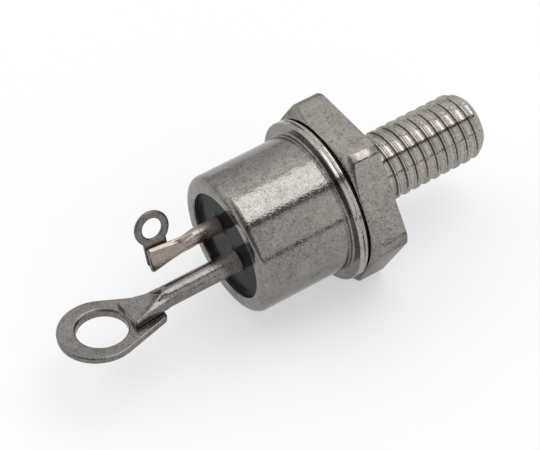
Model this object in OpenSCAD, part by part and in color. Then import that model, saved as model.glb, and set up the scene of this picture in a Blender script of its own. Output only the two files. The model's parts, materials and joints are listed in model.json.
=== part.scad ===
// Stud-mounted thyristor in a hermetic metal case, lying on a flat of its hex.
// The stud points along +X, the terminals along -X, and a flat of the hex faces +Z.
// The origin is on the axis, in the face of the hex that seats on a heat sink.
// Heights are measured from that face towards the terminals.

/* [Threaded stud] */
// Outer diameter of the stud's M6 thread
stud_d = 5.85; // [5:0.05:8]
// Length of the stud below the hex
stud_len = 11.6; // [8:0.1:20]
// Chamfer on the end of the stud
stud_chamfer = 0.75; // [0.3:0.05:1.2]

/* [Hex base] */
// Width of the hex across its flats
hex_af = 14; // [13:0.1:17]
// Thickness of the hex
hex_h = 2.95; // [2:0.05:5]
// Diameter to which the six corners are turned down
hex_corner_d = 15.7; // [15:0.1:19]
// Diameter at which the turned chamfer on the cap side starts
hex_face_d = 13.7; // [12:0.1:14.2]
// Slope of that chamfer, in degrees
hex_chamfer_angle = 30; // [15:1:40]
// Depth of the groove that the weld ring is brazed into
groove_depth = 0.4; // [0.2:0.02:0.45]
// Diameter of the pedestal that carries the die
pedestal_d = 7.6; // [7.3:0.1:8.4]
// Height of the pedestal above the hex
pedestal_h = 1.15; // [0.8:0.05:2]

/* [Weld ring and cap] */
// Thickness of the braze under the weld ring
braze_t = 0.08; // [0.03:0.01:0.2]
// Thickness of the weld ring
ring_t = 0.52; // [0.46:0.02:1]
// How far the weld ring sits back from the edge of the flange
ring_inset = 0.5; // [0.2:0.05:1]
// Gap around the weld ring in its groove
ring_clear = 0.05; // [0.02:0.01:0.15]
// Outer diameter of the cap
cap_d = 11.85; // [11.4:0.05:12.6]
// Wall of the cap
cap_wall = 1.38; // [0.6:0.02:1.6]
// Height of the cap over its flange
cap_h = 8.96; // [7.5:0.02:12]
// How far the edge of the flange sits inside the flats of the hex
flange_inset = 0.075; // [0:0.025:0.5]
// Thickness of the flange
flange_t = 0.7; // [0.3:0.02:1]
// Fillet between the flange and the cap
flange_fillet = 0.2; // [0.1:0.05:0.5]
// Rounding of the flange's outer edge
flange_round = 0.1; // [0.05:0.05:0.3]
// Rounding of the cap's outer rim
rim_round = 0.6; // [0.1:0.05:0.7]
// Bevel around the mouth of the cap
mouth_bevel = 0.12; // [0.05:0.01:0.3]

/* [Glass seal] */
// Depth of the glass below the rim
seal_recess = 0.5; // [0.35:0.01:1]
// Thickness of the glass
seal_t = 2.5; // [1.5:0.1:3]

/* [Terminals] */
// Angle of the line through both terminals above the horizontal, in degrees
terminal_angle = 40; // [0:1:90]
// Length of the terminals below the glass
tube_tail = 0.6; // [0.2:0.1:1]
// Gap between a terminal's bore and the lead inside it
lead_clear = 0.06; // [0.02:0.01:0.12]

/* [Cathode terminal] */
// Distance of the cathode terminal from the axis
cathode_offset = 1.4; // [1.2:0.01:2]
// Outer diameter of the cathode tube
cathode_d = 1.82; // [1.5:0.02:2.4]
// Wall of the cathode tube
cathode_wall = 0.3; // [0.15:0.01:0.4]
// Length of the cathode tube that stays round above the glass
cathode_stem = 6.52; // [4:0.02:14]
// Length over which the cathode tube is pressed down
cathode_neck = 0.6; // [0.3:0.05:2]
// Length of the flattened cathode end
cathode_flat_len = 2.95; // [2.5:0.05:5]
// Width of the flattened cathode end at its tip
cathode_flat_w = 3.1; // [2.4:0.05:4]
// How far the middle of that tip lies off the tube's axis, towards +Y
cathode_flat_shift = 0.3; // [-0.6:0.05:0.6]
// Thickness of the flattened cathode end at its root
cathode_root_t = 0.95; // [0.6:0.05:1.2]
// Thickness of the flattened cathode end at its tip
cathode_tip_t = 0.6; // [0.3:0.05:0.9]
// Height of the upper face above the tube's axis at the root
cathode_root_rise = 0.33; // [0.1:0.01:0.5]
// Height of the upper face above the tube's axis at the tip
cathode_tip_rise = 0.17; // [-0.2:0.01:0.3]
// Twist of the flattened cathode end about its tube, in degrees
cathode_lean = 3.5; // [0:0.5:30]

/* [Cathode lug] */
// Outer radius of the cathode lug's ring
cathode_ring_r = 3.3; // [3:0.05:5]
// Diameter of the hole in the cathode lug
cathode_hole_d = 4.1; // [3:0.05:4.8]
// Thickness of the cathode lug
cathode_lug_t = 0.58; // [0.4:0.02:1]
// Height of the lip that is drawn out under the lug's hole
cathode_lip_h = 0.22; // [0.1:0.02:0.6]
// Wall of that lip
cathode_lip_wall = 0.3; // [0.15:0.05:0.5]
// How far the ring's outer circle is ahead of its hole
cathode_ring_ahead = 0.28; // [0:0.02:0.5]
// Distance from the flattened end's tip to the hole's centre
cathode_hole_reach = 2.2; // [2.15:0.05:5]
// Gap between the end of the lug's tail and the root of the flattened end
cathode_tail_gap = 0.1; // [0.05:0.05:1.2]
// Half the width of the lug's tail at its end
cathode_tail_half = 1.55; // [1:0.05:2.4]
// Rounding of the tail's corners
cathode_tail_round = 0.55; // [0.2:0.05:0.8]
// Angle by which the lug sits askew on the flattened end, in degrees
cathode_lug_turn = 5; // [-8:0.5:8]

/* [Gate terminal] */
// Distance of the gate terminal from the axis
gate_offset = 1.75; // [1.5:0.01:2.2]
// Outer diameter of the gate tube
gate_d = 1.36; // [1:0.02:1.6]
// Wall of the gate tube
gate_wall = 0.22; // [0.12:0.01:0.26]
// Length of the gate tube that stays round above the glass
gate_stem = 2.22; // [2:0.02:6]
// Length over which the gate tube is pressed flat
gate_neck = 1.4; // [0.5:0.1:2]
// Length of the flattened gate end
gate_flat_len = 2.9; // [2.4:0.1:5]
// Width of the flattened gate end at its tip
gate_flat_w = 2.2; // [1.7:0.05:3]
// How far the middle of that tip lies off the tube's axis, upwards
gate_flat_shift = -0.2; // [-0.4:0.05:0.4]
// Thickness of the flattened gate end at its root
gate_root_t = 0.75; // [0.4:0.05:0.9]
// Thickness of the flattened gate end at its tip
gate_tip_t = 0.45; // [0.25:0.05:0.6]
// Lean of the flattened gate end from the vertical, in degrees
gate_lean = 16; // [0:1:40]

/* [Gate lug] */
// Outer radius of the gate lug's ring
gate_ring_r = 1.5; // [1.2:0.02:2.2]
// Diameter of the hole in the gate lug
gate_hole_d = 1.74; // [1.2:0.02:1.9]
// Thickness of the gate lug
gate_lug_t = 0.35; // [0.25:0.05:0.6]
// Height of the hole's centre above the gate tube's axis
gate_hole_rise = 2.25; // [2.1:0.05:4]
// Length of the lug's tail below the gate tube's axis
gate_tail_drop = 0.85; // [0.2:0.05:1.2]
// Half the width of the lug's tail
gate_tail_half = 1; // [0.6:0.05:1.2]
// How far the lug's tail stands out past the flattened end's tip
gate_tail_proud = 0.05; // [0:0.05:0.6]
// Angle by which the lug leans over towards the case, in degrees
gate_lug_turn = 2.5; // [-8:0.5:8]

/* [Die stack] */
// Thickness of the solder under the anode plate
die_solder_t = 0.08; // [0.03:0.01:0.2]
// Diameter of the molybdenum anode plate
anode_plate_d = 7.2; // [6.8:0.1:7.3]
// Thickness of the anode plate
anode_plate_t = 0.7; // [0.4:0.05:1.2]
// Diameter of the silicon pellet
pellet_d = 6.2; // [6:0.1:6.4]
// Thickness of the silicon pellet
pellet_t = 0.35; // [0.2:0.05:0.6]
// Width of the coating around the pellet's edge
coating_w = 0.4; // [0.2:0.05:0.6]
// Height of the coating above the pellet
coating_rise = 0.06; // [0:0.01:0.2]
// Thickness of the solder under the cathode plate
cathode_solder_t = 0.07; // [0.03:0.01:0.2]
// Diameter of the molybdenum cathode plate
cathode_plate_d = 5.2; // [4.8:0.1:5.6]
// Thickness of the cathode plate
cathode_plate_t = 0.4; // [0.2:0.05:0.8]
// Diameter of the gate lead
gate_lead_d = 0.5; // [0.3:0.02:0.6]
// Wall of the insulating sleeve on the gate lead
sleeve_wall = 0.18; // [0.1:0.01:0.3]
// Gap around the gate lead's sleeve
sleeve_clear = 0.12; // [0.05:0.01:0.2]

/* [Hidden] */
$fn = 96;

// Colours
nickel = [0.62, 0.60, 0.57];
black_glass = [0.09, 0.09, 0.10];
braze_silver = [0.72, 0.71, 0.68];
molybdenum = [0.50, 0.50, 0.52];
silicon = [0.30, 0.31, 0.36];
silicone = [0.85, 0.84, 0.80];
solder = [0.66, 0.66, 0.66];
copper = [0.72, 0.43, 0.28];
aluminium = [0.80, 0.80, 0.81];
ptfe = [0.93, 0.93, 0.91];

// Depth by which joined or cut shapes pass each other
lap = 0.1;

// Heights of the stack, from the seat face towards the terminals
groove_floor = hex_h - groove_depth;
braze_top = groove_floor + braze_t;
ring_top = braze_top + ring_t;
rim = ring_top + cap_h;
seal_top = rim - seal_recess;
seal_bottom = seal_top - seal_t;
tube_bottom = seal_bottom - tube_tail;
pedestal_top = hex_h + pedestal_h;
die_solder_top = pedestal_top + die_solder_t;
anode_plate_top = die_solder_top + anode_plate_t;
pellet_top = anode_plate_top + pellet_t;
cathode_solder_top = pellet_top + cathode_solder_t;
cathode_plate_top = cathode_solder_top + cathode_plate_t;

// Diameters that follow from their neighbours
flange_d = hex_af - 2 * flange_inset;
cap_bore_d = cap_d - 2 * cap_wall;
ring_d = flange_d - 2 * ring_inset;
ring_bore_d = pedestal_d + 2 * ring_clear;
groove_d = ring_d + 2 * ring_clear;
cathode_bore_d = cathode_d - 2 * cathode_wall;
gate_bore_d = gate_d - 2 * gate_wall;
cathode_lead_d = cathode_bore_d - 2 * lead_clear;
sleeve_bore_d = gate_lead_d + 2 * lead_clear;
sleeve_d = sleeve_bore_d + 2 * sleeve_wall;
gate_slot_w = sleeve_d + 2 * sleeve_clear;

// Ends of the round and flattened stretches of the terminals
cathode_stem_end = seal_top + cathode_stem;
cathode_root = cathode_stem_end + cathode_neck;
cathode_tip = cathode_root + cathode_flat_len;
gate_stem_end = seal_top + gate_stem;
gate_root = gate_stem_end + gate_neck;
gate_tip = gate_root + gate_flat_len;

// Undersides of the flattened ends, across each tube's axis
cathode_root_low = cathode_root_rise - cathode_root_t;
cathode_tip_low = cathode_tip_rise - cathode_tip_t;
cathode_lug_pitch = atan((cathode_tip_low - cathode_root_low) / cathode_flat_len);
cathode_tail_len = cathode_flat_len - cathode_tail_gap;
gate_flat_low = -gate_tip_t / 2;

// Points along an arc from angle a0 to a1 about c
arc_steps = 6;
function arc(c, r, a0, a1) =
    [for (i = [0:arc_steps]) let (a = a0 + (a1 - a0) * i / arc_steps) c + r * [cos(a), sin(a)]];

// Direction of the normal of the line that touches circle r0 at the origin and circle r1 at c
function tangent_normal(r0, c, r1) =
    let (a = atan2(c.y, c.x) + acos((r0 - r1) / norm(c))) [cos(a), sin(a)];

// Turns a shape built upright, terminals up, onto its side
module lying() {
    rotate([0, -90, 0]) children();
}

// A turned shape between two heights
module disc(d, low, high) {
    translate([0, 0, low]) cylinder(d = d, h = high - low);
}

// A washer between two heights
module washer(d, bore, low, high) {
    difference() {
        disc(d, low, high);
        disc(bore, low - lap, high + lap);
    }
}

// Places a shape on the cathode tube's axis, its flat facing up
module at_cathode() {
    lying() rotate([0, 0, 90 - terminal_angle]) translate([-cathode_offset, 0, 0])
        rotate([0, 0, terminal_angle + cathode_lean - 90]) children();
}

// Places a shape on the gate tube's axis, its flat facing -Y and leaning back
module at_gate() {
    lying() rotate([0, 0, 90 - terminal_angle]) translate([gate_offset, 0, 0])
        rotate([0, 0, terminal_angle + gate_lean - 180]) children();
}

// A plate of thickness t from level low, its outline drawn across the tube and along it
module plate(low, t) {
    translate([low, 0, 0]) rotate([90, 0, 90]) linear_extrude(t) children();
}

// A tube from the height low, pressed to a wedge between its root and its tip.
// Each end of the wedge is given as [lower face, thickness], across the tube's axis,
// and the tip's width is spread about a middle that lies a shift off that axis.
module pressed_tube(d, bore, low, stem_end, root, tip, root_face, tip_face, tip_w, shift) {
    difference() {
        union() {
            disc(d, low, stem_end);
            intersection() {
                translate([0, tip_w, 0]) rotate([90, 0, 0]) linear_extrude(2 * tip_w)
                    polygon([[-d / 2, stem_end - lap], [d / 2, stem_end - lap], [d / 2, stem_end],
                        [root_face[0] + root_face[1], root], [tip_face[0] + tip_face[1], tip],
                        [tip_face[0], tip], [root_face[0], root], [-d / 2, stem_end]]);
                union() {
                    disc(d, stem_end - lap, root + lap);
                    plate(-d, 2 * d)
                        polygon([[-d / 2, root], [d / 2, root], [shift + tip_w / 2, tip],
                            [shift - tip_w / 2, tip]]);
                }
            }
        }
        disc(bore, low - lap, stem_end);
    }
}

// Outline of a ring with a tail that tapers from it to two rounded corners
module tailed_ring(ring_r, tail_reach, tail_half, tail_round) {
    corner = [tail_half - tail_round, tail_round - tail_reach];
    n = tangent_normal(ring_r, [-corner.y, corner.x], tail_round);
    side = [n.y, -n.x];
    circle(r = ring_r);
    for (s = [-1, 1]) {
        translate([s * corner.x, corner.y]) circle(r = tail_round);
    }
    polygon([
        [-ring_r * side.x, ring_r * side.y],
        [-corner.x - tail_round * side.x, corner.y + tail_round * side.y],
        [-corner.x, -tail_reach],
        [corner.x, -tail_reach],
        [corner.x + tail_round * side.x, corner.y + tail_round * side.y],
        [ring_r * side.x, ring_r * side.y]]);
}

// Opening in the cathode side that leaves the gate contact free
module gate_slot(low, high) {
    rotate([0, 0, 90 - terminal_angle]) {
        translate([gate_offset, 0, 0]) disc(gate_slot_w, low, high);
        translate([gate_offset, -gate_slot_w / 2, low]) cube([cathode_plate_d, gate_slot_w, high - low]);
    }
}

// Copper base turned from hex bar, with its stud, its pedestal and the groove around that
module stud_base() {
    chamfer_rise = (hex_corner_d - hex_face_d) / 2 * tan(hex_chamfer_angle);
    color(nickel) lying() {
        disc(stud_d, stud_chamfer - stud_len, lap);
        translate([0, 0, -stud_len])
            cylinder(d1 = stud_d - 2 * stud_chamfer, d2 = stud_d, h = stud_chamfer);
        difference() {
            intersection() {
                rotate([0, 0, 30]) cylinder(d = hex_af / cos(30), h = hex_h, $fn = 6);
                union() {
                    disc(hex_corner_d, 0, hex_h - chamfer_rise);
                    translate([0, 0, hex_h - chamfer_rise])
                        cylinder(d1 = hex_corner_d, d2 = hex_face_d, h = chamfer_rise);
                }
            }
            disc(groove_d, groove_floor, hex_h + lap);
        }
        disc(pedestal_d, groove_floor - lap, pedestal_top);
    }
}

// Braze that joins the weld ring to the base
module braze_ring() {
    color(braze_silver) lying() washer(ring_d, ring_bore_d, groove_floor, braze_top);
}

// Steel ring that the cap is welded to
module weld_ring() {
    color(nickel) lying() washer(ring_d, ring_bore_d, braze_top, ring_top);
}

// Cap with its flange, turned in one piece
module cap() {
    flange_top = ring_top + flange_t;
    lip = (flange_d - cap_d) / 2;
    edge_round = min(flange_round, lip / 2);
    fillet = min(flange_fillet, lip / 2);
    edge_c = [flange_d / 2 - edge_round, flange_top - edge_round];
    fillet_c = [cap_d / 2 + fillet, flange_top + fillet];
    round_c = [cap_d / 2 - rim_round, rim - rim_round];
    color(nickel) lying() rotate_extrude() polygon(concat(
        [[cap_bore_d / 2, ring_top], [flange_d / 2, ring_top]],
        arc(edge_c, edge_round, 0, 90),
        arc(fillet_c, fillet, 270, 180),
        arc(round_c, rim_round, 0, 90),
        [[cap_bore_d / 2 + mouth_bevel, rim], [cap_bore_d / 2, rim - mouth_bevel]]));
}

// Glass that seals the terminals into the cap
module glass_seal() {
    color(black_glass) difference() {
        lying() disc(cap_bore_d, seal_bottom, seal_top);
        at_cathode() disc(cathode_d, seal_bottom - lap, seal_top + lap);
        at_gate() disc(gate_d, seal_bottom - lap, seal_top + lap);
    }
}

// Cathode tube with its fan-shaped end
module cathode_tube() {
    color(nickel) at_cathode() pressed_tube(cathode_d, cathode_bore_d, tube_bottom, cathode_stem_end,
        cathode_root, cathode_tip, [cathode_root_low, cathode_root_t], [cathode_tip_low, cathode_tip_t],
        cathode_flat_w, cathode_flat_shift);
}

// Stamped ring lug under the cathode's flattened end
module cathode_lug() {
    tail_reach = cathode_tail_len + cathode_hole_reach;
    lip_low = -cathode_lug_t - cathode_lip_h;
    color(nickel) at_cathode() translate([cathode_tip_low, 0, cathode_tip]) rotate([0, cathode_lug_pitch, 0])
        difference() {
            union() {
                plate(-cathode_lug_t, cathode_lug_t) askew_on_cathode()
                    translate([0, tail_reach + cathode_ring_ahead]) tailed_ring(cathode_ring_r,
                        tail_reach + cathode_ring_ahead, cathode_tail_half, cathode_tail_round);
                plate(lip_low, cathode_lip_h + lap) askew_on_cathode()
                    translate([0, tail_reach]) circle(d = cathode_hole_d + 2 * cathode_lip_wall);
            }
            plate(lip_low - lap, -lip_low + 2 * lap) askew_on_cathode()
                translate([0, tail_reach]) circle(d = cathode_hole_d);
        }
}

// Turns an outline that starts at the end of the cathode lug's tail
module askew_on_cathode() {
    translate([0, -cathode_tail_len]) rotate(-cathode_lug_turn) children();
}

// Gate tube with its flattened end
module gate_tube() {
    color(nickel) at_gate() pressed_tube(gate_d, gate_bore_d, tube_bottom, gate_stem_end,
        gate_root, gate_tip, [gate_flat_low, gate_root_t], [gate_flat_low, gate_tip_t],
        gate_flat_w, gate_flat_shift);
}

// Small ring lug behind the gate's flattened end
module gate_lug() {
    middle = gate_tip + gate_tail_proud - gate_tail_half;
    color(nickel) at_gate() plate(gate_flat_low - gate_lug_t, gate_lug_t)
        translate([0, middle]) rotate(-gate_lug_turn) difference() {
            union() {
                translate([gate_hole_rise, 0]) circle(r = gate_ring_r);
                translate([-gate_tail_drop, -gate_tail_half])
                    square([gate_tail_drop + gate_hole_rise, 2 * gate_tail_half]);
            }
            translate([gate_hole_rise, 0]) circle(d = gate_hole_d);
        }
}

// Solder between the pedestal and the anode plate
module die_solder() {
    color(solder) lying() disc(anode_plate_d, pedestal_top, die_solder_top);
}

// Molybdenum plate that spreads the heat of the pellet
module anode_plate() {
    color(molybdenum) lying() disc(anode_plate_d, die_solder_top, anode_plate_top);
}

// Silicon pellet
module silicon_pellet() {
    color(silicon) lying() disc(pellet_d, anode_plate_top, pellet_top);
}

// Coating that protects the edge of the pellet
module junction_coating() {
    color(silicone) lying()
        washer(pellet_d + 2 * coating_w, pellet_d, anode_plate_top, pellet_top + coating_rise);
}

// Solder between the pellet and the cathode plate
module cathode_solder() {
    color(solder) lying() difference() {
        disc(cathode_plate_d, pellet_top, cathode_solder_top);
        gate_slot(pellet_top - lap, cathode_solder_top + lap);
    }
}

// Molybdenum plate on the cathode side, open around the gate
module cathode_plate() {
    color(molybdenum) lying() difference() {
        disc(cathode_plate_d, cathode_solder_top, cathode_plate_top);
        gate_slot(cathode_solder_top - lap, cathode_plate_top + lap);
    }
}

// Copper lead from the cathode plate into its tube
module cathode_lead() {
    color(copper) at_cathode() disc(cathode_lead_d, cathode_plate_top, cathode_stem_end);
}

// Aluminium lead from the pellet into the gate tube
module gate_lead() {
    color(aluminium) at_gate() disc(gate_lead_d, pellet_top, gate_stem_end);
}

// Insulating sleeve on the gate lead
module gate_sleeve() {
    color(ptfe) at_gate() washer(sleeve_d, sleeve_bore_d, pellet_top, tube_bottom);
}

stud_base();
braze_ring();
weld_ring();
cap();
glass_seal();
cathode_tube();
cathode_lug();
gate_tube();
gate_lug();
die_solder();
anode_plate();
silicon_pellet();
junction_coating();
cathode_solder();
cathode_plate();
cathode_lead();
gate_lead();
gate_sleeve();
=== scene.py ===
import json
import math
from collections import namedtuple

import bmesh
import bpy
from mathutils import Matrix, Vector


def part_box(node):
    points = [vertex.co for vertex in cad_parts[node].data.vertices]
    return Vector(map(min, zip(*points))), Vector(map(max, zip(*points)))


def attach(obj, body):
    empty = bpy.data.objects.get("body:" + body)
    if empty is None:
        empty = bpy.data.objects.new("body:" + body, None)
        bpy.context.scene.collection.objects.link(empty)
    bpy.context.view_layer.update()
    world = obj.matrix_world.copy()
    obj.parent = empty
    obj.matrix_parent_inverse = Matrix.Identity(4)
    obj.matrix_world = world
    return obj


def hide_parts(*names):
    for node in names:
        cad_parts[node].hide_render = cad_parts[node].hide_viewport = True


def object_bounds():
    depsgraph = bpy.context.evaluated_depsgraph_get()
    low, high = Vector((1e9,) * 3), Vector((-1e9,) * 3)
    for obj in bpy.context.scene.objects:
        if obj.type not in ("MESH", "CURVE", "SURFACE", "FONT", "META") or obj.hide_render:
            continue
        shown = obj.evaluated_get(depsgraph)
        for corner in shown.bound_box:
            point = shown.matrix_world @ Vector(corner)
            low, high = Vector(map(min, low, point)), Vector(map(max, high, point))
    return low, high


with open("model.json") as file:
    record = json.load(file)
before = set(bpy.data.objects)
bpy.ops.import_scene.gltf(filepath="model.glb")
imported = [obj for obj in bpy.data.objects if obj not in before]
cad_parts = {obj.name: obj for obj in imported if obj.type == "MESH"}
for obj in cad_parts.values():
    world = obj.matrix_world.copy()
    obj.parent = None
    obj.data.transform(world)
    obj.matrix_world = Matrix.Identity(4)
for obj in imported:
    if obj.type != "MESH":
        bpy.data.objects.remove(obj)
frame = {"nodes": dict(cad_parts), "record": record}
cad_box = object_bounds()

# Lengths are millimetres in the part's own frame. Heights run from the seat face towards the terminals,
# which is along -X, and turns about the axis run from +Y to +Z.
MM = 0.001
MICRON = 1e-3
TAU = 2 * math.pi
MERGE_WITHIN = 1e-4

# Stud, with its rolled thread
END_LEN = 1.1
END_DROP = 0.58
END_POWER = 1.7
THREAD_PITCH = 1.0
THREAD_DEPTH = 0.24
THREAD_START = 0.1
THREAD_RUNOUT = 0.4
CREST_PHASE = 0.274
CREST_HALF = 0.13
FLANK_W = 0.12
SEAM_HALF = 0.045
SEAM_DEPTH = 0.08
MARK_AT = 0.33
MARK_HALF = 0.05
MARK_DEPTH = 0.025
THREAD_ROWS = 40
SPARE_TURNS = 3

# Hex of the base
HEX_CORNER_D = 15.7
HEX_FACE_D = 13.7
HEX_CHAMFER = math.radians(30)
HEX_FLAT_STEPS = 14
HEX_CORNER_STEPS = 4
HEX_EDGE = 0.07
HEX_EDGE_TURN = math.radians(0.4)
SEAT_MARGIN = 3 * HEX_EDGE
PEDESTAL_D = 7.6
GROOVE_DEPTH = 0.4
RING_CLEAR = 0.05

# Cap and its foot
CAP_D = 11.85
FLANGE_T = 0.7
FLANGE_ROUND = 0.1
FLANGE_UNDER_ROUND = 0.04
FLANGE_SCORE = 0.24
SCORE_HALF = 0.03
BAND_W = 0.05
BAND_H = 0.36
BAND_ROUND = 0.04
BAND_ROUND_STOP = 80
FOOT_FILLET = 0.14
RIM_ROUND = 0.6
MOUTH_ROUND = 0.12
TURNED_STEPS = 256
ARC_STEPS = 8

# Glass and the meniscus that it draws up the cap and the tubes
GLASS_STEPS = 160
GLASS_RINGS = 56
MENISCUS_RISE = 0.16
MENISCUS_REACH = 0.14
CUTTER_OVERRUN = 1

# Pressed terminals. A face is its lower and upper level across the tube, and the edges are the rounding or
# the bevel at the root and at the tip. The upper face is scooped down over a wall that starts some way
# ahead of the root, later by a bow at its sides, and later and longer on the side left fuller.
PRESSING_FIELDS = ("node lead d wall neck root_face tip_face tip_w tip_shift edges bevelled "
                   "scoop ahead bow late")
Pressing = namedtuple("Pressing", PRESSING_FIELDS)
CATHODE = Pressing(
    node="cathode_tube",
    lead="cathode_lead",
    d=1.82,
    wall=0.3,
    neck=0.6,
    root_face=(-0.62, 0.33),
    tip_face=(-0.43, 0.17),
    tip_w=3.1,
    tip_shift=0.3,
    edges=(0.28, 0.17),
    bevelled=False,
    scoop=0.6,
    ahead=0.65,
    bow=0.4,
    late=1.3,
)
GATE = Pressing(
    node="gate_tube",
    lead="gate_lead",
    d=1.36,
    wall=0.22,
    neck=1.4,
    root_face=(-0.225, 0.525),
    tip_face=(-0.225, 0.225),
    tip_w=2.2,
    tip_shift=-0.2,
    edges=(0.34, 0.2),
    bevelled=True,
    scoop=1.0,
    ahead=1.15,
    bow=0.1,
    late=0,
)
CATHODE_LEAN = math.radians(3.5)
TOP_STEPS = 24
CORNER_STEPS = 5
SIDE_STEPS = 6
CORNER_TURN = math.radians(55)
SIDE_TURN = math.radians(65)
STEM_ROWS = 12
NECK_ROWS = 64
FAN_ROWS = 16

# Lugs, each a ring about its hole with a tail. The counts are the steps along its outline.
Counts = namedtuple("Counts", "ring side corner end")
LUG_FIELDS = "mount ring_r ring_ahead tail_reach tail_half tail_round turn t edge hole_edge lip_wall counts"
Lug = namedtuple("Lug", LUG_FIELDS)
CATHODE_LUG = Lug(
    mount="cathode_hole",
    ring_r=3.3,
    ring_ahead=0.28,
    tail_reach=5.05,
    tail_half=1.55,
    tail_round=0.55,
    turn=math.radians(-5),
    t=0.58,
    edge=0.15,
    hole_edge=0.28,
    lip_wall=0.3,
    counts=Counts(ring=48, side=24, corner=10, end=6),
)
GATE_LUG = Lug(
    mount="gate_hole",
    ring_r=1.5,
    ring_ahead=0,
    tail_reach=3.1,
    tail_half=1.0,
    tail_round=0.25,
    turn=math.radians(-92.5),
    t=0.35,
    edge=0.15,
    hole_edge=0.12,
    lip_wall=0,
    counts=Counts(ring=36, side=6, corner=6, end=4),
)
LIP_EDGE = 0.06


def span(node):
    """Lowest and highest corner of a solid, in millimetres."""
    low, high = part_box(node)
    return Vector(low) / MM, Vector(high) / MM


def lerp(a, b, t):
    """Value a share t of the way from a to b."""
    return a + (b - a) * t


def clamp(t):
    """Value held between 0 and 1."""
    return min(max(t, 0), 1)


def smooth(t):
    """Soft step from 0 to 1 as t goes from 0 to 1."""
    t = clamp(t)
    return t * t * (3 - 2 * t)


def steps(start, stop, count):
    """Evenly spaced values from start to stop, both included."""
    return [lerp(start, stop, i / count) for i in range(count + 1)]


# Places that the frame gives
mounts = {mount["name"]: mount for mount in frame["record"]["mounts"]}
base_low, base_high = span("stud_base")
cap_low, cap_high = span("cap")
glass_low, glass_high = span("glass_seal")
braze_high = span("braze_ring")[1]
stud_r = mounts["stud"]["dims"]["r_mm"]
stud_len = base_high.x
hex_flat = base_high.z
pedestal_top = -base_low.x
groove_floor = -braze_high.x
groove_r = braze_high.z + RING_CLEAR
hex_h = groove_floor + GROOVE_DEPTH
foot = -cap_high.x
rim = -cap_low.x
flange_r = cap_high.z
glass_top = -glass_low.x
glass_bottom = -glass_high.x
bore_r = glass_high.z

# Axis of a terminal and the directions across and above its flattened end
Terminal = namedtuple("Terminal", "axis side up")


def terminal(lead, up):
    """Terminal around a lead, with its flattened end facing up."""
    low, high = span(lead)
    middle = (low + high) / 2
    up = Vector(up).normalized()
    return Terminal(Vector((0, middle.y, middle.z)), Vector((-1, 0, 0)).cross(up), up)


cathode = terminal(CATHODE.lead, (0, math.sin(CATHODE_LEAN), math.cos(CATHODE_LEAN)))
gate = terminal(GATE.lead, mounts[GATE_LUG.mount]["axis"])


def at(place, height, across, above):
    """Point at a height along a terminal and at a place across and above its axis."""
    return Vector((-height, 0, 0)) + place.axis + across * place.side + above * place.up


# Mesh helpers
def around(height, radius, turn):
    """Point of a turned shape."""
    return Vector((-height, radius * math.cos(turn), radius * math.sin(turn)))


def ring(height, radius, turns):
    """Circle of points about the axis."""
    return [around(height, radius, turn) for turn in turns]


def even_turns(count):
    """Turns spread evenly about the axis."""
    return [TAU * i / count for i in range(count)]


def arc(height, radius, r, start, stop):
    """Round in a turned profile, with angles in degrees from outwards to upwards."""
    angles = [math.radians(a) for a in steps(start, stop, ARC_STEPS)]
    return [(height + r * math.sin(a), radius + r * math.cos(a)) for a in angles]


def skin(loops, closed_end=True, joined=False):
    """Points and faces that join each loop to the next, with the ends closed or joined to each other."""
    count = len(loops[0])
    points = [point for loop in loops for point in loop]
    faces = []
    for a in range(len(loops) if joined else len(loops) - 1):
        b = (a + 1) % len(loops)
        for i in range(count):
            j = (i + 1) % count
            faces.append((a * count + i, a * count + j, b * count + j, b * count + i))
    if not joined:
        faces.append(tuple(range(count)))
    if closed_end and not joined:
        faces.append(tuple(range(len(points) - count, len(points))))
    return points, faces


def together(*parts):
    """Several lists of points and faces as one."""
    points = []
    faces = []
    for part_points, part_faces in parts:
        first = len(points)
        points += part_points
        faces += [tuple(first + i for i in face) for face in part_faces]
    return points, faces


def mesh_object(name, shape):
    """Closed mesh of a shape, its doubled points merged and its faces turned outwards."""
    points, faces = shape
    mesh = bpy.data.meshes.new(name)
    mesh.from_pydata([point * MM for point in points], [], faces)
    work = bmesh.new()
    work.from_mesh(mesh)
    bmesh.ops.remove_doubles(work, verts=work.verts, dist=MERGE_WITHIN * MM)
    bmesh.ops.recalc_face_normals(work, faces=work.faces)
    for face in work.faces:
        face.smooth = True
    work.to_mesh(mesh)
    work.free()
    piece = bpy.data.objects.new(name, mesh)
    bpy.context.scene.collection.objects.link(piece)
    return piece


def dress(piece, node, material, bright=None, is_bright=None):
    """Puts a piece in a solid's place with its finish, or a brighter one on faces that a test picks."""
    piece.modifiers.new("flat faces stay flat", "WEIGHTED_NORMAL").keep_sharp = True
    piece.data.materials.append(material)
    if bright:
        piece.data.materials.append(bright)
        for face in piece.data.polygons:
            face.material_index = int(is_bright(face.center / MM))
    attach(piece, "root")
    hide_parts(node)


# Stud and base
def thread_radius(along, turn):
    """Radius of the thread: narrow crest with a seam from its rolling, and wide floor with fine marks."""
    place = along / THREAD_PITCH - turn / TAU - CREST_PHASE
    off_crest = abs(place - round(place)) * THREAD_PITCH
    floor_depth = THREAD_DEPTH * clamp((along - THREAD_START) / THREAD_RUNOUT)
    seam = SEAM_DEPTH * clamp(1 - off_crest / SEAM_HALF)
    mark = MARK_DEPTH * clamp(1 - abs(off_crest - MARK_AT) / MARK_HALF)
    return stud_r - floor_depth * smooth((off_crest - CREST_HALF) / FLANK_W) - seam - mark


def end_radius(along):
    """Radius of the stud's rounded end."""
    return stud_r - END_DROP * clamp((along - stud_len + END_LEN) / END_LEN) ** END_POWER


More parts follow.
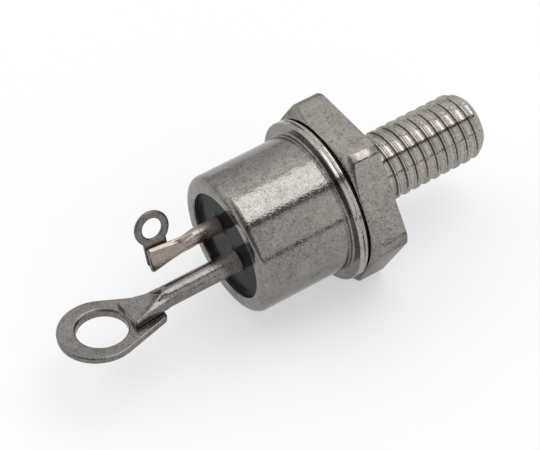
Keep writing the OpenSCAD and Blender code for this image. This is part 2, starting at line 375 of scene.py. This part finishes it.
def hex_columns():
    """Turn and radius of each column of points of the hex, with its corners turned down."""
    corner_r = HEX_CORNER_D / 2
    half = math.acos(hex_flat / corner_r)
    flat = steps(HEX_EDGE_TURN - half, half - HEX_EDGE_TURN, HEX_FLAT_STEPS)
    corner = steps(half + HEX_EDGE_TURN, TAU / 6 - half - HEX_EDGE_TURN, HEX_CORNER_STEPS)
    columns = [(a, hex_flat / math.cos(a)) for a in flat] + [(a, corner_r) for a in corner]
    return [(TAU / 4 + TAU / 6 * k + a, r) for k in range(6) for a, r in columns]


def base_body(columns):
    """Pedestal, groove, turned chamfer and flats, down to the thread's start in the seat face."""
    turns = [turn for turn, reach in columns]
    slope = math.tan(HEX_CHAMFER)
    face_r = HEX_FACE_D / 2
    edges = [(turn, reach, hex_h - (reach - face_r) * slope) for turn, reach in columns]
    loops = [
        ring(pedestal_top, PEDESTAL_D / 2, turns),
        ring(groove_floor, PEDESTAL_D / 2, turns),
        ring(groove_floor, groove_r, turns),
        ring(hex_h - HEX_EDGE, groove_r, turns),
        ring(hex_h, groove_r + HEX_EDGE, turns),
        ring(hex_h, face_r - HEX_EDGE, turns),
        ring(hex_h - HEX_EDGE * slope, face_r + HEX_EDGE, turns),
        [around(top + HEX_EDGE * slope, reach - HEX_EDGE, turn) for turn, reach, top in edges],
        [around(top - HEX_EDGE, reach, turn) for turn, reach, top in edges],
        [around(HEX_EDGE, reach, turn) for turn, reach in columns],
        [around(0, reach - HEX_EDGE, turn) for turn, reach in columns],
        [around(0, reach - SEAT_MARGIN, turn) for turn, reach in columns],
        ring(0, stud_r + HEX_EDGE, turns),
        [around(0, thread_radius(0, turn), turn) for turn in turns],
    ]
    return skin(loops, closed_end=False)


def thread(turns):
    """Thread whose rows follow its helix, cut off by the seat face and by the stud's end."""
    rows = THREAD_ROWS * (math.ceil(stud_len / THREAD_PITCH) + SPARE_TURNS)
    first = turns[0]
    points = []
    for row in range(rows):
        for turn in turns:
            # The first rows start a turn ahead of the seat face
            along = THREAD_PITCH * (row / THREAD_ROWS - 1 + (turn - first) / TAU)
            along = min(max(along, 0), stud_len)
            points.append(around(-along, min(thread_radius(along, turn), end_radius(along)), turn))
    count = len(turns)
    faces = []
    for row in range(rows - 1):
        for i in range(count):
            # The last column meets the first one a whole turn further along
            if i + 1 < count:
                right = row * count + i + 1
            else:
                right = (row + THREAD_ROWS) * count
            if right + count < len(points):
                left = row * count + i
                faces.append((left, right, right + count, left + count))
    return points, faces


def stud_base():
    """Base with its thread and hex as one closed mesh."""
    columns = hex_columns()
    turns = [turn for turn, reach in columns]
    end = ring(-stud_len, end_radius(stud_len), turns)
    return together(base_body(columns), thread(turns), (end, [tuple(range(len(end)))]))


# Cap, turned in one piece with its flange
def cap():
    """Cap with a low band at its foot and a round rim."""
    wall = CAP_D / 2
    top = foot + FLANGE_T
    band_r = wall + BAND_W
    band_top = top + BAND_H
    under = FLANGE_UNDER_ROUND
    score = foot + FLANGE_SCORE
    profile = [(foot, bore_r)]
    profile += arc(foot + under, flange_r - under, under, -90, 0)
    profile += [(score - SCORE_HALF, flange_r), (score, flange_r - SCORE_HALF)]
    profile += [(score + SCORE_HALF, flange_r)]
    profile += arc(top - FLANGE_ROUND, flange_r - FLANGE_ROUND, FLANGE_ROUND, 0, 90)
    profile += arc(top + FOOT_FILLET, band_r + FOOT_FILLET, FOOT_FILLET, 270, 180)
    profile += arc(band_top - BAND_ROUND, band_r - BAND_ROUND, BAND_ROUND, 0, BAND_ROUND_STOP)
    profile += [(band_top + BAND_ROUND, wall)]
    profile += arc(rim - RIM_ROUND, wall - RIM_ROUND, RIM_ROUND, 0, 90)
    profile += arc(rim - MOUTH_ROUND, bore_r + MOUTH_ROUND, MOUTH_ROUND, 90, 180)
    turns = even_turns(TURNED_STEPS)
    return skin([ring(height, radius, turns) for height, radius in profile], joined=True)


# Terminals. A spot is a place on a tube's outline: its turn while the tube is round, its share of the half
# width and of the height once it is pressed flat, and how much the rounded edge takes off each.
Spot = namedtuple("Spot", "turn across across_edge level level_edge")


def outline_spots(bevelled):
    """Places once around a tube, from the middle of its upper face and back to it."""
    quarter = []
    for i in range(TOP_STEPS // 2):
        share = i / (TOP_STEPS // 2)
        quarter.append(Spot(CORNER_TURN * share, share, -share, 1, 0))
    for i in range(CORNER_STEPS):
        share = i / CORNER_STEPS
        across = share if bevelled else math.sin(TAU / 4 * share)
        level = 1 - share if bevelled else math.cos(TAU / 4 * share)
        quarter.append(Spot(lerp(CORNER_TURN, SIDE_TURN, share), 1, across - 1, 1, level - 1))
    for i in range(SIDE_STEPS // 2):
        share = i / SIDE_STEPS
        turn = lerp(SIDE_TURN, TAU / 4, 2 * share)
        quarter.append(Spot(turn, 1, 0, 1 - share, 2 * share - 1))
    middle = Spot(TAU / 4, 1, 0, 0.5, 0)
    lower = [Spot(TAU / 2 - s.turn, s.across, s.across_edge, 1 - s.level, -s.level_edge) for s in quarter]
    half = quarter + [middle] + lower[::-1]
    other = [Spot(TAU - s.turn, -s.across, -s.across_edge, s.level, s.level_edge) for s in half[1:-1]]
    return half + other[::-1]


SPOTS = {bevelled: outline_spots(bevelled) for bevelled in (False, True)}
SECTION_STEPS = len(SPOTS[False])


def scooped(form, root, height, across):
    """How far the upper face is down at a height and at a share of the half width, from 0 to 1."""
    aside = across ** 2
    late = form.late * max(-across, 0)
    start = root - form.ahead + max(form.bow * aside, late)
    return smooth((height - start) / (form.scoop * (1 + aside) + late))


def pressed_section(place, form, height, stem_end, tip, inset=0):
    """Outline of a tube at a height, round below its stem's end and pressed flat beyond its root."""
    root = stem_end + form.neck
    fan = clamp((height - root) / (tip - root))
    low = lerp(form.root_face[0], form.tip_face[0], fan)
    high = lerp(form.root_face[1], form.tip_face[1], fan) - inset
    half = lerp(form.d, form.tip_w, fan) / 2 - inset
    middle = form.tip_shift * fan
    edge = lerp(form.edges[0], form.edges[1], fan)
    press = smooth((height - stem_end) / form.neck)
    points = []
    for spot in SPOTS[form.bevelled]:
        flat = lerp(press, scooped(form, root, height, spot.across), spot.level)
        across = middle + spot.across * half + spot.across_edge * edge
        above = lerp(low, high, spot.level) + spot.level_edge * edge
        across = lerp(form.d / 2 * math.sin(spot.turn), across, press)
        above = lerp(form.d / 2 * math.cos(spot.turn), above, flat)
        points.append(at(place, height, across, above))
    return points


def round_section(place, height, radius, turns):
    """Circle of points about a terminal's axis."""
    return [at(place, height, radius * math.sin(turn), radius * math.cos(turn)) for turn in turns]


def pressed_tube(place, form):
    """Tube with an open bore at its lower end and a pressed, spread end at the other."""
    low, high = span(form.node)
    bottom = -high.x
    tip = -low.x
    stem_end = -span(form.lead)[0].x
    neck_start = stem_end - form.neck / 2
    neck_end = stem_end + 2 * form.neck
    tip_round = form.edges[1]
    bore = form.d / 2 - form.wall
    turns = [spot.turn for spot in SPOTS[form.bevelled]]
    loops = [round_section(place, height, bore, turns) for height in (stem_end, bottom)]
    heights = steps(bottom, neck_start, STEM_ROWS)
    heights += steps(neck_start, neck_end, NECK_ROWS)[1:]
    heights += steps(neck_end, tip - tip_round, FAN_ROWS)[1:]
    loops += [pressed_section(place, form, height, stem_end, tip) for height in heights]
    for bend in steps(0, TAU / 4, CORNER_STEPS)[1:]:
        height = tip - tip_round * (1 - math.sin(bend))
        inset = tip_round * (1 - math.cos(bend))
        loops.append(pressed_section(place, form, height, stem_end, tip, inset))
    return skin(loops)


# Glass seal
def meniscus(point):
    """Height of the glass at a place in the cap's mouth."""
    gaps = [bore_r - math.hypot(point.y, point.z)]
    for place, diameter in ((cathode, CATHODE.d), (gate, GATE.d)):
        gaps.append(math.hypot(point.y - place.axis.y, point.z - place.axis.z) - diameter / 2)
    return glass_top + sum(MENISCUS_RISE * math.exp(-max(gap, 0) / MENISCUS_REACH) for gap in gaps)


def glass_disc():
    """Glass without its holes."""
    turns = even_turns(GLASS_STEPS)
    loops = [ring(glass_bottom, bore_r, turns)]
    for step in range(GLASS_RINGS, 0, -1):
        loop = ring(0, bore_r * step / GLASS_RINGS, turns)
        loops.append([Vector((-meniscus(point), point.y, point.z)) for point in loop])
    return skin(loops)


def rod(place, radius):
    """Round bar through the glass on a terminal's axis."""
    turns = even_turns(SECTION_STEPS)
    heights = (glass_bottom - CUTTER_OVERRUN, glass_top + CUTTER_OVERRUN)
    return skin([round_section(place, height, radius, turns) for height in heights])


def glass_seal():
    """Glass with the tubes' holes cut out of it."""
    piece = mesh_object("glass_seal_visual", glass_disc())
    cutters = [
        mesh_object("cathode_cutter", rod(cathode, CATHODE.d / 2)),
        mesh_object("gate_cutter", rod(gate, GATE.d / 2)),
    ]
    for cutter in cutters:
        cut = piece.modifiers.new(cutter.name, "BOOLEAN")
        cut.operation = "DIFFERENCE"
        cut.solver = "EXACT"
        cut.object = cutter
    graph = bpy.context.evaluated_depsgraph_get()
    whole = bpy.data.meshes.new_from_object(piece.evaluated_get(graph))
    piece.modifiers.clear()
    piece.data = whole
    for cutter in cutters:
        bpy.data.objects.remove(cutter)
    return piece


# Lugs, their outlines drawn about the hole as points with their outward directions
def heading(turn):
    """Direction in a plane."""
    return Vector((math.cos(turn), math.sin(turn)))


def curve(centre, radius, start, stop, count):
    """Round stretch of an outline."""
    return [(centre + radius * heading(turn), heading(turn)) for turn in steps(start, stop, count)]


def straight(start, stop, count):
    """Straight stretch of an outline, without its ends."""
    return [(start[0].lerp(stop[0], i / count), start[1]) for i in range(1, count)]


def lug_centres(form):
    """Centres of a lug's ring and of the rounded corner of its tail."""
    corner = Vector((form.tail_round - form.tail_reach, form.tail_half - form.tail_round))
    return Vector((form.ring_ahead, 0)), corner


def lug_outline(form, ring_stop, corner_start):
    """Outline of a lug: its ring up to a turn, its tail from another, and their mirror image."""
    ring_centre, corner_centre = lug_centres(form)
    head = curve(ring_centre, form.ring_r, 0, ring_stop, form.counts.ring)
    corner = curve(corner_centre, form.tail_round, corner_start, math.pi, form.counts.corner)
    end = (Vector((-form.tail_reach, 0)), heading(math.pi))
    half = head + straight(head[-1], corner[0], form.counts.side)
    half += corner + straight(corner[-1], end, form.counts.end) + [end]
    flip = Vector((1, -1))
    other = [(point * flip, outward * flip) for point, outward in half[1:-1]]
    return half + other[::-1]


def tapered_outline(form):
    """Outline whose tail runs straight on from the sides of the ring."""
    ring_centre, corner_centre = lug_centres(form)
    gap = corner_centre - ring_centre
    lean = math.atan2(gap.y, gap.x) - math.acos((form.ring_r - form.tail_round) / gap.length)
    return lug_outline(form, lean, lean)


def necked_outline(form):
    """Outline whose ring sits on a narrower strip with square shoulders."""
    meet = math.pi - math.asin(form.tail_half / form.ring_r)
    return lug_outline(form, meet, TAU / 4)


def rounded(edge, low, high):
    """Insets and levels up a side with rounded edges, from the lower face to the upper one."""
    bends = steps(0, TAU / 4, ARC_STEPS)
    path = [(edge * (1 - math.sin(b)), low + edge * (1 - math.cos(b))) for b in bends]
    return path + [(edge * (1 - math.cos(b)), high - edge * (1 - math.sin(b))) for b in bends]


def lug(form, outline):
    """Stamped plate with rounded edges, whose hole may be drawn out to a lip below."""
    mount = mounts[form.mount]
    centre = Vector(mount["pos_m"]) / MM
    normal = Vector(mount["axis"]).normalized()
    straight_on = Vector((-1, 0, 0))
    straight_on = (straight_on - straight_on.dot(normal) * normal).normalized()
    ahead = Matrix.Rotation(form.turn, 3, normal) @ straight_on
    across = normal.cross(ahead)
    hole_r = mount["dims"]["r_mm"]
    top = mount["dims"]["length_mm"] / 2
    under = top - form.t
    wall = form.lip_wall
    hole_path = rounded(form.hole_edge, under, top)
    if wall:
        hole_path = [(wall, under), (wall, LIP_EDGE - top), (wall - LIP_EDGE, -top)]
        hole_path += [(LIP_EDGE, -top), (0, LIP_EDGE - top)]
        hole_path += rounded(form.hole_edge, -top, top)[ARC_STEPS + 1:]

    def plate_point(flat, level):
        """Point of the plate from its place in the outline's plane and its level above that."""
        return centre + flat.x * ahead + flat.y * across + level * normal

    rays = [point.normalized() for point, outward in outline]
    loops = []
    for inset, level in rounded(form.edge, under, top):
        loops.append([plate_point(point - inset * outward, level) for point, outward in outline])
    for inset, level in hole_path[::-1]:
        loops.append([plate_point((hole_r + inset) * ray, level) for ray in rays])
    return skin(loops, joined=True)


# Materials
NOISE_LOW = 0.3
NOISE_HIGH = 0.7


class Nodes:
    """Shorthand for making shader nodes and linking them."""

    def __init__(self, tree):
        self.tree = tree
        tree.nodes.clear()

    def add(self, kind, inputs=None, **settings):
        """New node, its inputs set to a value or linked to a socket."""
        node = self.tree.nodes.new(kind)
        for name, value in settings.items():
            setattr(node, name, value)
        for name, value in (inputs or {}).items():
            if isinstance(value, bpy.types.NodeSocket):
                self.tree.links.new(value, node.inputs[name])
            else:
                node.inputs[name].default_value = value
        return node

    def math(self, operation, a, b=0.0):
        """Result of an operation on one or two values."""
        return self.add("ShaderNodeMath", {0: a, 1: b}, operation=operation).outputs[0]

    def spread(self, value, low, high, to_low, to_high, kind="LINEAR"):
        """Value carried over from one range to another and held within it."""
        ends = {"Value": value, "From Min": low, "From Max": high, "To Min": to_low, "To Max": to_high}
        return self.add("ShaderNodeMapRange", ends, interpolation_type=kind).outputs["Result"]

    def noise(self, place, per_mm, detail):
        """Noise with so many features in a millimetre, spread to about -1 to 1."""
        node = self.add("ShaderNodeTexNoise", {"Vector": place, "Scale": per_mm / MM, "Detail": detail})
        return self.spread(node.outputs["Fac"], NOISE_LOW, NOISE_HIGH, -1, 1)

    def window(self, value, stops):
        """Soft window that opens between the first two stops and closes between the last two."""
        opening = self.spread(value, stops[0], stops[1], 0, 1, "SMOOTHSTEP")
        closing = self.spread(value, stops[2], stops[3], 1, 0, "SMOOTHSTEP")
        return self.math("MULTIPLY", opening, closing)

    def total(self, *parts):
        """Sum of values, each given with its share."""
        result = None
        for value, share in parts:
            scaled = self.math("MULTIPLY", value, share)
            result = scaled if result is None else self.math("ADD", result, scaled)
        return result

    def ramp(self, value, stops):
        """Colours by value, each stop given as (value, colour)."""
        node = self.add("ShaderNodeValToRGB", {"Fac": value})
        elements = node.color_ramp.elements
        while len(elements) < len(stops):
            elements.new(1.0)
        for element, (position, colour) in zip(elements, stops):
            element.position = position
            element.color = (*colour, 1)
        return node.outputs["Color"]


def new_material(name):
    """Empty node material and its shorthand."""
    material = bpy.data.materials.new(name)
    material.use_nodes = True
    return material, Nodes(material.node_tree)


def shade(colour, factor):
    """Colour made lighter or darker."""
    return tuple(min(channel * factor, 1) for channel in colour)


def tinted(nodes, tone, colour, contrast):
    """Colour that goes darker and lighter by its contrast with a tone from -1 to 1."""
    ends = [(0, shade(colour, 1 - contrast)), (1, shade(colour, 1 + contrast))]
    return nodes.ramp(nodes.spread(tone, -1, 1, 0, 1), ends)


def finish_shader(nodes, hue, roughness, height, bump_um, constants):
    """Principled surface with a bump height in thousandths of a millimetre."""
    bump = nodes.add("ShaderNodeBump", {"Height": height, "Distance": bump_um * MICRON * MM})
    links = {"Base Color": hue, "Roughness": roughness, "Normal": bump.outputs["Normal"]}
    shader = nodes.add("ShaderNodeBsdfPrincipled", links | constants)
    nodes.add("ShaderNodeOutputMaterial", {"Surface": shader.outputs["BSDF"]})


# Features of the finishes in a millimetre, and the noise that makes pits
METAL_CLOUDS = 0.3
METAL_MOTTLES = 1.6
METAL_GRAINS = 6.5
METAL_PITS = 0.6 * METAL_GRAINS
PIT_RANGE = (0.45, 0.9)
DIELECTRIC_CLOUDS = 0.6
DIELECTRIC_GRAINS = 5

# Dull skin that sealing leaves on metal in front of the glass, where the metal is also painted lighter
# against the shade and the dark reflection of the glass
DULL_AND_PAINTED_LIGHT_REACH = 2.4
DULL_ROUGH = 0.5


def metal(name, colour, rough=(0.05, 0.16), grain_um=2.0, contrast=0.42, edge=0.85, painted_lift=None):
    """Satin plated metal: cloudy and mottled tone, fine grain in colour, gloss and height, and dull pits.
    The edge is its share of reflection at a glancing angle, the lift how much its colour is painted lighter
    in front of the glass, as painted light against the shade there."""
    material, nodes = new_material(name)
    place = nodes.add("ShaderNodeTexCoord").outputs["Object"]
    cloud = nodes.noise(place, METAL_CLOUDS, detail=2)
    mottle = nodes.noise(place, METAL_MOTTLES, detail=3)
    grain = nodes.noise(place, METAL_GRAINS, detail=2)
    pits = nodes.noise(place, METAL_PITS, detail=1)
    pits = nodes.spread(pits, *PIT_RANGE, 0, 1, "SMOOTHSTEP")
    tone = nodes.total((cloud, 0.25), (mottle, 0.3), (grain, 0.55), (pits, -0.6))
    rough_tone = nodes.total((mottle, 0.3), (grain, 0.5), (pits, 0.7))
    height = nodes.total((grain, 1.0), (mottle, 0.5), (pits, -0.8))
    hue = tinted(nodes, tone, colour, contrast)
    roughness = nodes.spread(rough_tone, -1, 1, *rough)
    # Painted light: in front of the glass the colour is scaled lighter against the shade there, while the
    # roughness rises for the dull skin
    if painted_lift:
        along = nodes.add("ShaderNodeSeparateXYZ", {"Vector": place}).outputs["X"]
        reach = (-(glass_top + DULL_AND_PAINTED_LIGHT_REACH) * MM, -glass_top * MM)
        dulled = nodes.spread(along, *reach, 0, DULL_ROUGH, "SMOOTHSTEP")
        painted_light_scale = nodes.spread(along, *reach, 1, painted_lift, "SMOOTHSTEP")
        roughness = nodes.math("ADD", roughness, dulled)
        scaled = nodes.add("ShaderNodeVectorMath", {0: hue, "Scale": painted_light_scale}, operation="SCALE")
        hue = scaled.outputs["Vector"]
    constants = {"Metallic": 1.0, "Specular Tint": (edge, edge, edge, 1)}
    finish_shader(nodes, hue, roughness, height, grain_um, constants)
    return material


def dielectric(name, colour, rough, grain_um, contrast=0.1, constants=None):
    """Glass, rubber or plastic with faint clouds and a fine skin."""
    material, nodes = new_material(name)
    place = nodes.add("ShaderNodeTexCoord").outputs["Object"]
    cloud = nodes.noise(place, DIELECTRIC_CLOUDS, detail=3)
    grain = nodes.noise(place, DIELECTRIC_GRAINS, detail=2)
    hue = tinted(nodes, cloud, colour, contrast)
    roughness = nodes.spread(grain, -1, 1, *rough)
    finish_shader(nodes, hue, roughness, grain, grain_um, constants or {})
    return material


# Colours, ranges of roughness and the finishes made with them
NICKEL = (0.27, 0.25, 0.232)
# Painted shade: the cap's nickel is a darker copy of the base's
CAP_NICKEL_PAINTED_SHADE = (0.238, 0.227, 0.21)
TARNISHED_NICKEL = (0.3, 0.252, 0.226)
BRIGHT = (0.04, 0.1)
GROUND = (0.25, 0.4)
CAST = (0.3, 0.5)
# Painted shade: the base's glancing reflection tint is held low, darkening its lower flats
nickel_base = metal("nickel on the base", NICKEL, edge=0.45)
# Painted highlight: the thread's nickel is a lighter copy of the base's, on a smoother polish
nickel_thread_painted_highlight = metal("bright nickel on the thread, painted lighter for highlight", shade(NICKEL, 1.3), BRIGHT, grain_um=1.0)
nickel_cap_painted_shade = metal("nickel on the cap, painted darker for shade", CAP_NICKEL_PAINTED_SHADE)
# Painted highlight: the flange's edge is a lighter copy of the nickel, on a smoother polish
nickel_edge_painted_highlight = metal("bright nickel on the flange's edge", shade(NICKEL, 1.35), BRIGHT, grain_um=1.2)
# Painted shade: the cathode terminal's nickel is a darker copy of the base's, and it is painted lighter in
# front of the glass
nickel_terminal_painted_shade_and_light = metal("nickel on the cathode terminal", shade(NICKEL, 0.78), rough=(0.1, 0.24), painted_lift=2.1)
nickel_gate = metal("tarnished nickel on the gate terminal", TARNISHED_NICKEL, rough=(0.08, 0.18),
                    contrast=0.3, painted_lift=1.0)
# Painted shade: both lugs' nickel is a darker copy of the base's, the gate lug's also rougher
nickel_lug_painted_shade = metal("nickel on the cathode lug, painted darker for shade", shade(NICKEL, 0.74), rough=(0.14, 0.28))
nickel_gate_lug_painted_shade = metal("dull nickel on the gate lug, painted darker for shade", shade(NICKEL, 0.66), rough=(0.2, 0.34))
black_glass = dielectric("black glass", (0.011, 0.011, 0.012), rough=(0.1, 0.2), grain_um=1.0, contrast=0.3,
                         constants={"Specular IOR Level": 0.04})

# Finishes of the pieces inside the case and under its foot, by their slot
INNER_FINISHES = {
    "nickel_ring": metal("nickel on the weld ring", shade(NICKEL, 0.9), GROUND),
    "braze": metal("silver braze", (0.48, 0.46, 0.42), CAST, grain_um=9),
    "solder": metal("grey solder", (0.4, 0.4, 0.4), CAST, grain_um=9),
    "molybdenum": metal("ground molybdenum", (0.22, 0.22, 0.235), GROUND),
    "silicon": dielectric("lapped silicon", (0.075, 0.08, 0.105), rough=(0.2, 0.35), grain_um=1.5),
    "silicone_rubber": dielectric("silicone varnish", (0.69, 0.67, 0.6), rough=(0.35, 0.5), grain_um=6),
    "copper": metal("bare copper", (0.48, 0.155, 0.065), GROUND),
    "aluminium_wire": metal("drawn aluminium", (0.6, 0.6, 0.61), GROUND),
    "ptfe": dielectric("white sleeve", (0.84, 0.84, 0.8), rough=(0.4, 0.55), grain_um=3, contrast=0.04),
}


def on_thread(spot):
    """Whether a place is on the stud."""
    return spot.x > 0


def on_flange_edge(spot):
    """Whether a place is on the outer edge of the flange."""
    return math.hypot(spot.y, spot.z) > flange_r - FLANGE_ROUND


# Outer pieces, in the place of their solids
dress(mesh_object("stud_base_visual", stud_base()), "stud_base", nickel_base,
      nickel_thread_painted_highlight, on_thread)
dress(mesh_object("cap_visual", cap()), "cap", nickel_cap_painted_shade, nickel_edge_painted_highlight, on_flange_edge)
dress(glass_seal(), "glass_seal", black_glass)
dress(mesh_object("cathode_tube_visual", pressed_tube(cathode, CATHODE)),
      "cathode_tube", nickel_terminal_painted_shade_and_light)
dress(mesh_object("gate_tube_visual", pressed_tube(gate, GATE)),
      "gate_tube", nickel_gate)
dress(mesh_object("cathode_lug_visual", lug(CATHODE_LUG, tapered_outline(CATHODE_LUG))),
      "cathode_lug", nickel_lug_painted_shade)
dress(mesh_object("gate_lug_visual", lug(GATE_LUG, necked_outline(GATE_LUG))),
      "gate_lug", nickel_gate_lug_painted_shade)

# Solids that stay as they are
for subpart in frame["record"]["subparts"]:
    if subpart["material_slot"] in INNER_FINISHES:
        for slot in frame["nodes"][subpart["node"]].material_slots:
            slot.material = INNER_FINISHES[subpart["material_slot"]]

# Floor, white where it is seen, with a soft share of the part's shadow
FLOOR_SIZE = 2000
FLOOR_WHITE = 0.915
FLOOR_GLOW = 0.5


def floor():
    """Plain pale floor under the part."""
    half = FLOOR_SIZE / 2 * MM
    level = cad_box[0][2]
    mesh = bpy.data.meshes.new("floor")
    corners = [(-half, -half, level), (half, -half, level), (half, half, level), (-half, half, level)]
    mesh.from_pydata(corners, [], [(0, 1, 2, 3)])
    piece = bpy.data.objects.new("floor", mesh)
    bpy.context.scene.collection.objects.link(piece)
    material, nodes = new_material("pale floor")
    rays = nodes.add("ShaderNodeLightPath").outputs
    seen = nodes.math("MAXIMUM", rays["Is Camera Ray"], rays["Is Glossy Ray"])
    seen = nodes.math("MAXIMUM", seen, rays["Is Transmission Ray"])
    share = nodes.math("MULTIPLY", seen, FLOOR_GLOW)
    paint = nodes.add("ShaderNodeBsdfDiffuse", {"Color": (FLOOR_WHITE, FLOOR_WHITE, FLOOR_WHITE, 1)})
    glow = nodes.add("ShaderNodeEmission", {"Color": (1, 1, 1, 1), "Strength": 1.0})
    mixed = nodes.add("ShaderNodeMixShader", {0: share, 1: paint.outputs[0], 2: glow.outputs[0]})
    nodes.add("ShaderNodeOutputMaterial", {"Surface": mixed.outputs[0]})
    mesh.materials.append(material)


# Light: a grey room with a soft box overhead, dimmer at its two ends. Its level goes by the angle from
# overhead, in degrees and positive towards +Y: front wall on a dark foot, dark flag, ceiling, dark line and
# back wall.
ROOM_ACROSS = [
    (-90, 0.1), (-86.4, 0.1), (-85.6, 1.1), (-38, 1.05),
    (-35, 0.25), (-26, 0.2),
    (-24.8, 1.1), (18.8, 1.1),
    (19.1, 0.15), (21.2, 0.15),
    (21.5, 1.5), (32, 1.4), (39, 1.2), (60, 1.0), (90, 0.65),
]
ROOM_TOP = 1.5
BOX_ACROSS = (-25.5, -24.5, 18.7, 19.1)
BOX_ALONG = (0.0, 0.12, 0.62, 0.78)
BOX_LEVEL = 1.6
TERMINAL_END = (-0.15, -0.6)
TERMINAL_END_LEVEL = 0.3
TERMINAL_END_ACROSS = (10, 40)
STUD_END = (0.7, 0.95)
STUD_END_LEVEL = 0.6


def light():
    """Room light that the metal shows as its bands."""
    world = bpy.data.worlds.new("studio")
    bpy.context.scene.world = world
    world.use_nodes = True
    nodes = Nodes(world.node_tree)
    way = nodes.add("ShaderNodeTexCoord").outputs["Generated"]
    x, y, z = nodes.add("ShaderNodeSeparateXYZ", {"Vector": way}).outputs
    angle = nodes.math("ARCTAN2", y, z)
    across = nodes.spread(angle, -TAU / 4, TAU / 4, 0, 1)
    stops = [((degrees + 90) / 180, [level / ROOM_TOP] * 3) for degrees, level in ROOM_ACROSS]
    room = nodes.math("MULTIPLY", nodes.ramp(across, stops), ROOM_TOP)
    box_across = nodes.window(angle, [math.radians(a) for a in BOX_ACROSS])
    box = nodes.math("MULTIPLY", box_across, nodes.window(x, BOX_ALONG))
    lit = nodes.total((room, 1.0), (box, BOX_LEVEL))
    dim_across = [math.radians(a) for a in TERMINAL_END_ACROSS]
    dim_level = nodes.spread(angle, *dim_across, TERMINAL_END_LEVEL, 1)
    terminal_end = nodes.spread(x, *TERMINAL_END, 1, dim_level, "SMOOTHSTEP")
    stud_end = nodes.spread(x, *STUD_END, 1, STUD_END_LEVEL, "SMOOTHSTEP")
    strength = nodes.math("MULTIPLY", lit, nodes.math("MULTIPLY", terminal_end, stud_end))
    background = nodes.add("ShaderNodeBackground", {"Color": (1, 1, 1, 1), "Strength": strength})
    nodes.add("ShaderNodeOutputWorld", {"Surface": background.outputs[0]})


# Camera at the photograph's place
CAMERA_AIM = Vector((-7.827, 0, -0.213))
CAMERA_AZIMUTH = math.radians(-30.019)
CAMERA_ELEVATION = math.radians(45.943)
CAMERA_ROLL = math.radians(-4.58)
CAMERA_DISTANCE = 180
CAMERA_LENS = 151.203
CAMERA_CLIP = 1
SENSOR_W = 36


def camera():
    """Camera aimed at the part's middle, rolled as the photograph is."""
    data = bpy.data.cameras.new("camera")
    data.lens = CAMERA_LENS
    data.sensor_width = SENSOR_W
    data.clip_start = CAMERA_CLIP * MM
    piece = bpy.data.objects.new("camera", data)
    bpy.context.scene.collection.objects.link(piece)
    sine = math.sin(CAMERA_AZIMUTH)
    cosine = math.cos(CAMERA_AZIMUTH)
    level = math.cos(CAMERA_ELEVATION)
    back = Vector((sine * level, -cosine * level, math.sin(CAMERA_ELEVATION)))
    right = Vector((cosine, sine, 0))
    facing = Matrix((right, back.cross(right), back)).transposed() @ Matrix.Rotation(CAMERA_ROLL, 3, "Z")
    piece.matrix_world = Matrix.Translation((CAMERA_AIM + CAMERA_DISTANCE * back) * MM) @ facing.to_4x4()
    bpy.context.scene.camera = piece


floor()
light()
camera()
bpy.context.scene.view_settings.view_transform = "Standard"
